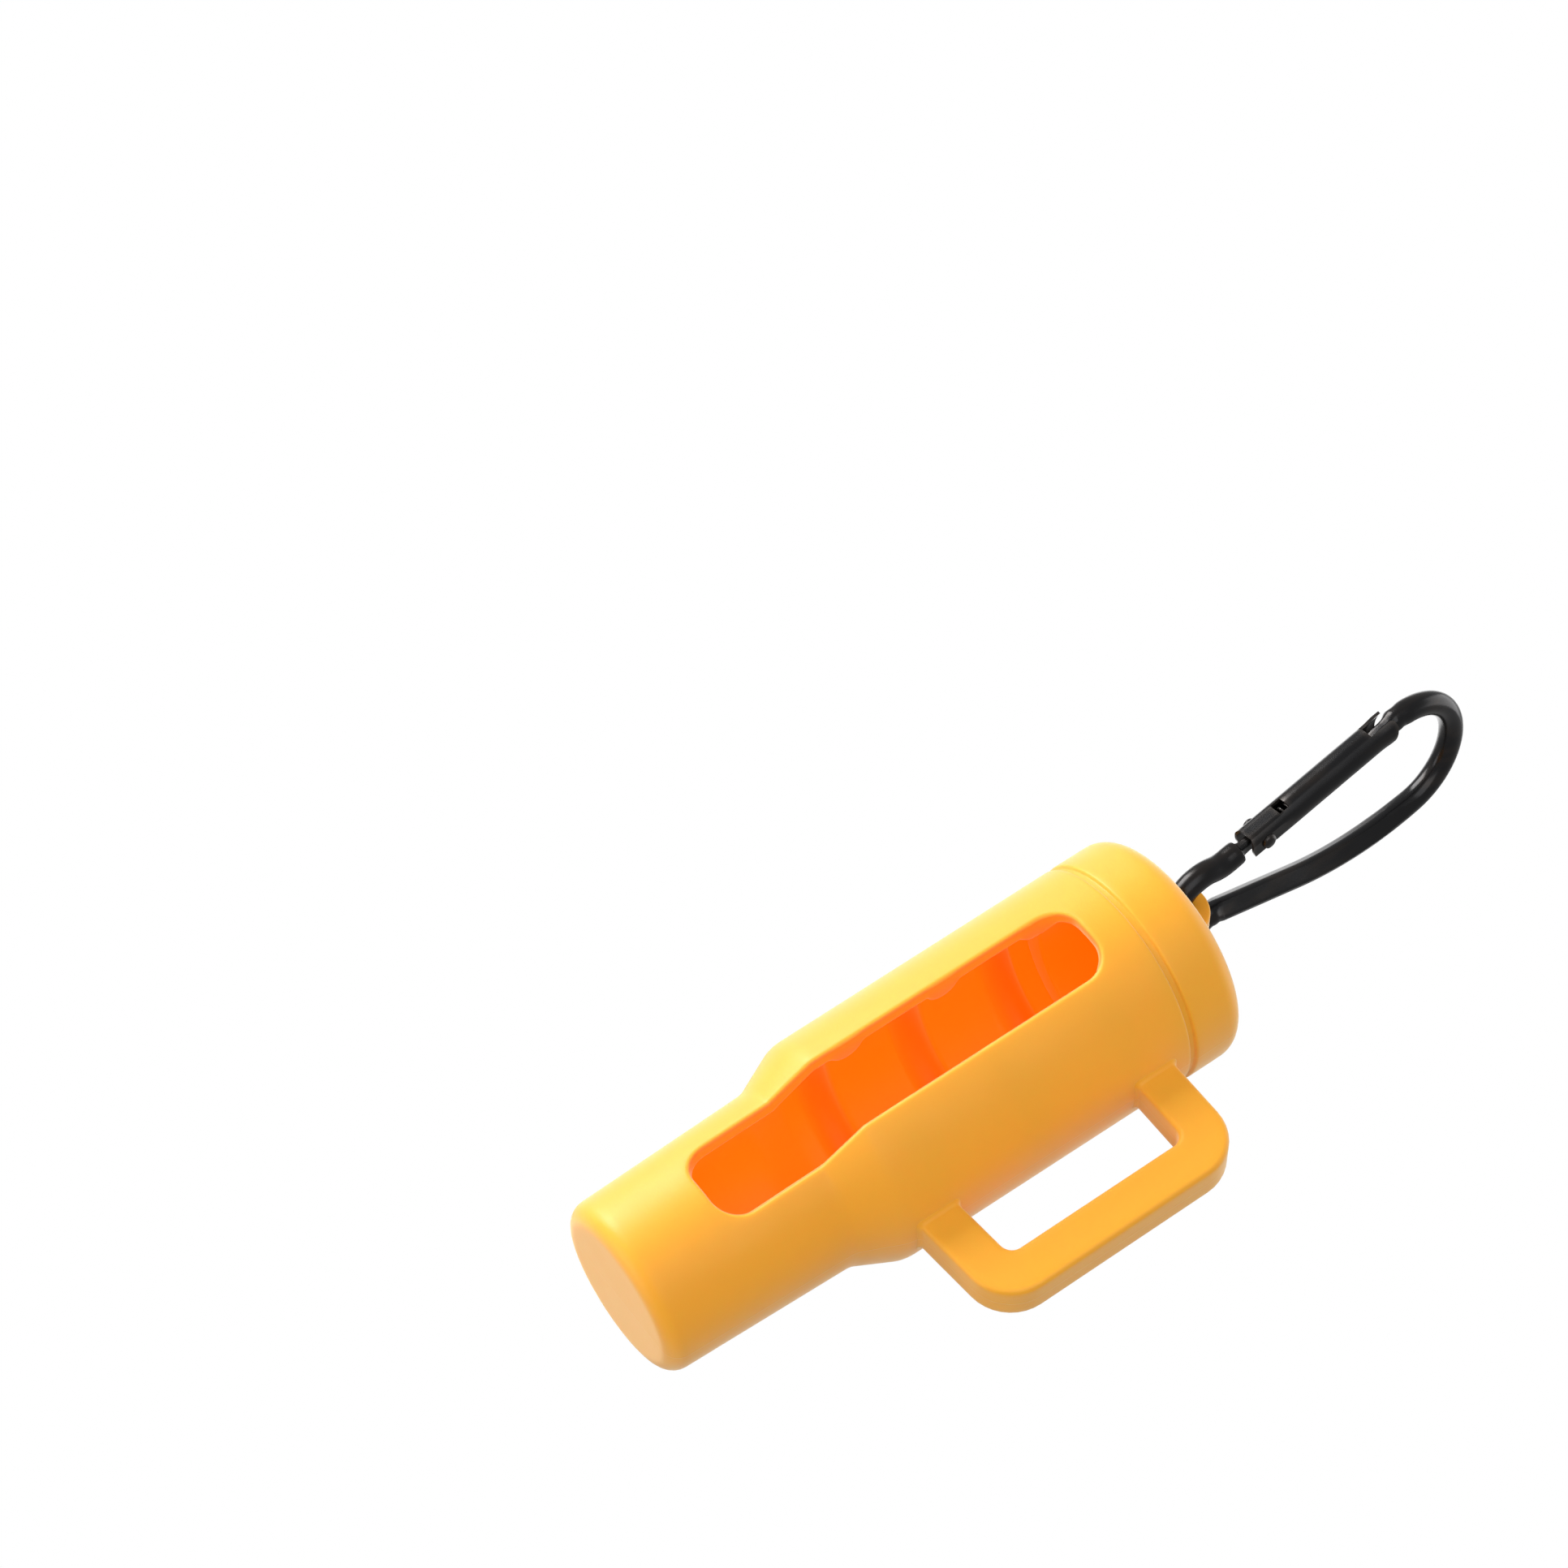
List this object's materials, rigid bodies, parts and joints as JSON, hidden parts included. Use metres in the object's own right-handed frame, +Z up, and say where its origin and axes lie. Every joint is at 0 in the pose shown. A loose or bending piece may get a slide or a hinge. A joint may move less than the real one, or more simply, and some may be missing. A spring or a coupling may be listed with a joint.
{
  "type": "tumbler-shaped silicone holder",
  "caption": "Tumbler-shaped silicone holder with a side window, handle and plug lid; a sprung snap hook swings in the loop on its lid.",
  "frame": {"origin": "centre of the base, on the surface the holder stands on", "axes": "+Z up along the cup's axis, window towards -Y, handle towards +X"},
  "size_m": [0.0587, 0.04, 0.1762],
  "materials": {
    "silicone": "matte moulded silicone, amber",
    "hook_metal": "satin black",
    "spring_steel": "drawn wire"
  },
  "bodies": {
    "holder": {"cup": "silicone", "handle": "silicone"},
    "lid": {"lid": "silicone", "hanging_loop": "silicone"},
    "hook": {"hook_frame": "hook_metal"},
    "gate": {"hook_gate": "hook_metal", "gate_rivet": "hook_metal", "gate_spring": "spring_steel"},
    "plunger": {"gate_plunger": "hook_metal"}
  },
  "joints": [
    {"name": "lid_pull", "type": "slide", "parent": "holder", "child": "lid", "axis": [0, 0, 1], "range_m": [0, 0.02]},
    {"name": "hook_swing", "type": "hinge", "parent": "lid", "child": "hook", "pos_m": [-0.003, 0, 0.1122], "axis": [0, 1, 0], "range_deg": [-77, 83]},
    {"name": "gate_open", "type": "hinge", "parent": "hook", "child": "gate", "pos_m": [-0.00497, -0.00552, 0.13095], "axis": [-0.9835, 0.1734, -0.0523], "range_deg": [0, 28], "stiffness_Nm_per_rad": 0.01, "springref_deg": -34.38},
    {"name": "plunger_slide", "type": "slide", "parent": "gate", "child": "plunger", "axis": [-0.0761, -0.1332, 0.9882], "range_m": [0, 0.0005], "deforming": ["gate_spring"]}
  ],
  "couplings": [
    {"joint": "plunger_slide", "follows": "gate_open", "m_per_rad": 0.00079}
  ]
}
